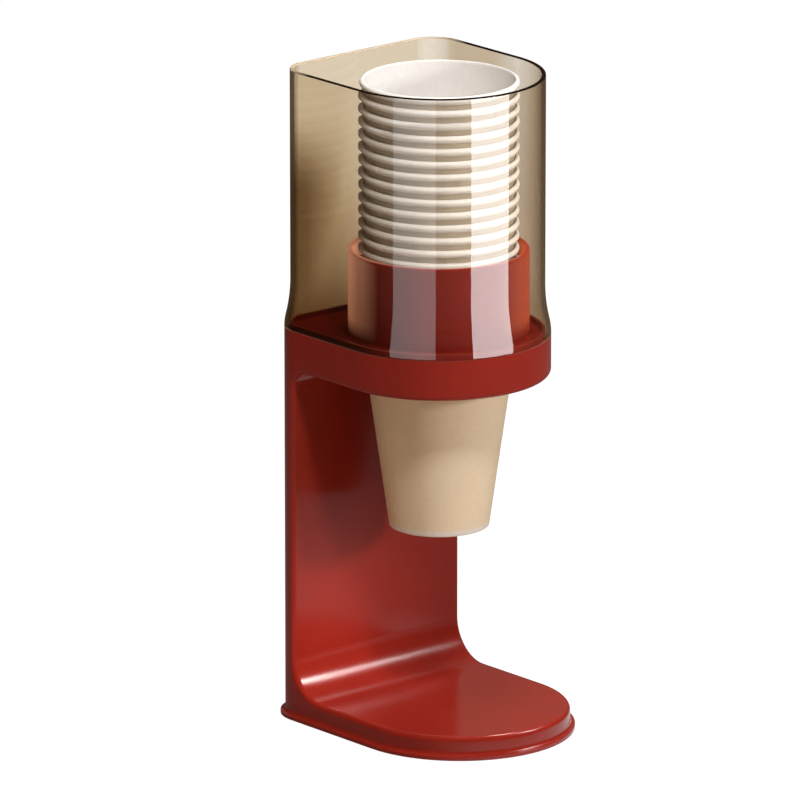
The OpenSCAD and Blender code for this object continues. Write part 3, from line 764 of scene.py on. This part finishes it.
def lamp(name, at, aim, size, power, colour=(1, 1, 1), glint=None, only=None, spread=180):
    """A panel lamp that only scattered light comes from; it lights only the pieces listed, where some are.

    With a glint, it is a light card instead, which only shows in the gloss of the pieces listed. The
    spread is the angle of its cone in degrees."""
    data = bpy.data.lights.new(name, "AREA")
    data.shape = "RECTANGLE"
    data.size, data.size_y = size
    data.energy = power
    data.color = colour
    data.spread = math.radians(spread)
    made = bpy.data.objects.new(name, data)
    made.location = at
    made.rotation_euler = (aim - at).to_track_quat("-Z", "Y").to_euler()
    made.visible_camera = made.visible_transmission = False
    if glint:
        made.visible_diffuse = made.visible_shadow = False
    else:
        made.visible_glossy = False
    if glint or only:
        shown_in = bpy.data.collections.new(f"{name}_shows_in")
        for piece in glint or only:
            shown_in.objects.link(piece)
        made.light_linking.receiver_collection = shown_in
    bpy.context.scene.collection.objects.link(made)


pale_floor()
dark_screen()
sky()

# Each lamp: turn, rise and distance of its spot, the side of its square panel, its power and its colour
MIDDLE = Vector((0, AXIS_Y, 0.16))
LAMPS = {
    "key_high": (16, 55, 1.25, 0.16, 7.8, (1, 1, 1)),
    "key_right": (65, 16, 1.25, 0.14, 6.6, (1, 1, 1)),
    "key_back": (150, 60, 1.25, 0.4, 7.0, (1, 1, 1)),
    "top": (25, 80, 1.25, 0.3, 6.5, (1, 1, 1)),
    "soft_left": (-40, 60, 1.4, 1.2, 2.2, (1.0, 0.66, 0.43)),
}
for name, (turn, rise_by, distance, side, power, colour) in LAMPS.items():
    lamp(name, round_spot(turn, rise_by, distance, MIDDLE), MIDDLE, (side, side), power, colour)

# Light cards for the stripes on the cover, round its middle
cover = bpy.data.objects["clear_cover"]
stand = cad_nodes["stand_shell"]
COVER_MIDDLE = Vector((0, AXIS_Y, 0.26))
right_card = round_spot(55, 0, 0.5, COVER_MIDDLE)
lamp("card_right", right_card, COVER_MIDDLE, (0.41, 0.55), 7.4, glint=[cover])
left_card = round_spot(-27, 0, 0.5, COVER_MIDDLE)
lamp("card_left", left_card, COVER_MIDDLE, (0.42, 0.55), 1.9, glint=[cover])

# Light cards for the streak on the left fillet, the pale gloss of the foot's top and the streak on its lip
fillet = Vector((-0.058, 0.04, 0.02))
fillet_card = fillet + 0.16 * Vector((0.627, -0.46, 0.63))
lamp("card_fillet", fillet_card, fillet, (0.014, 0.03), 0.065, (1.0, 0.76, 0.66), glint=[stand])
foot_card = round_spot(176, 12, 0.6, COVER_MIDDLE)
lamp("card_foot", foot_card, COVER_MIDDLE, (0.9, 0.5), 0.27, (1.0, 0.78, 0.66), glint=[stand])
lip = Vector((0, AXIS_Y, 0.006)) + 0.045 * TO_CAMERA + 0.033 * TO_RIGHT
lip_card = lip + 0.4 * (-0.148 * TO_CAMERA + 0.636 * TO_RIGHT + 0.756 * UP)
lamp("card_lip", lip_card, lip, (0.1, 0.1), 0.5, glint=[stand])

# A small lamp for the soft patch low on the column's left
patch = Vector((-0.03, 0.04, 0.03))
low_left = Vector((-0.03, -0.08, 0.09))
lamp("low_left", low_left, patch, (0.02, 0.02), 0.012, (1.0, 0.8, 0.65), only=[stand], spread=60)

view = bpy.context.scene.view_settings
view.view_transform = "Standard"
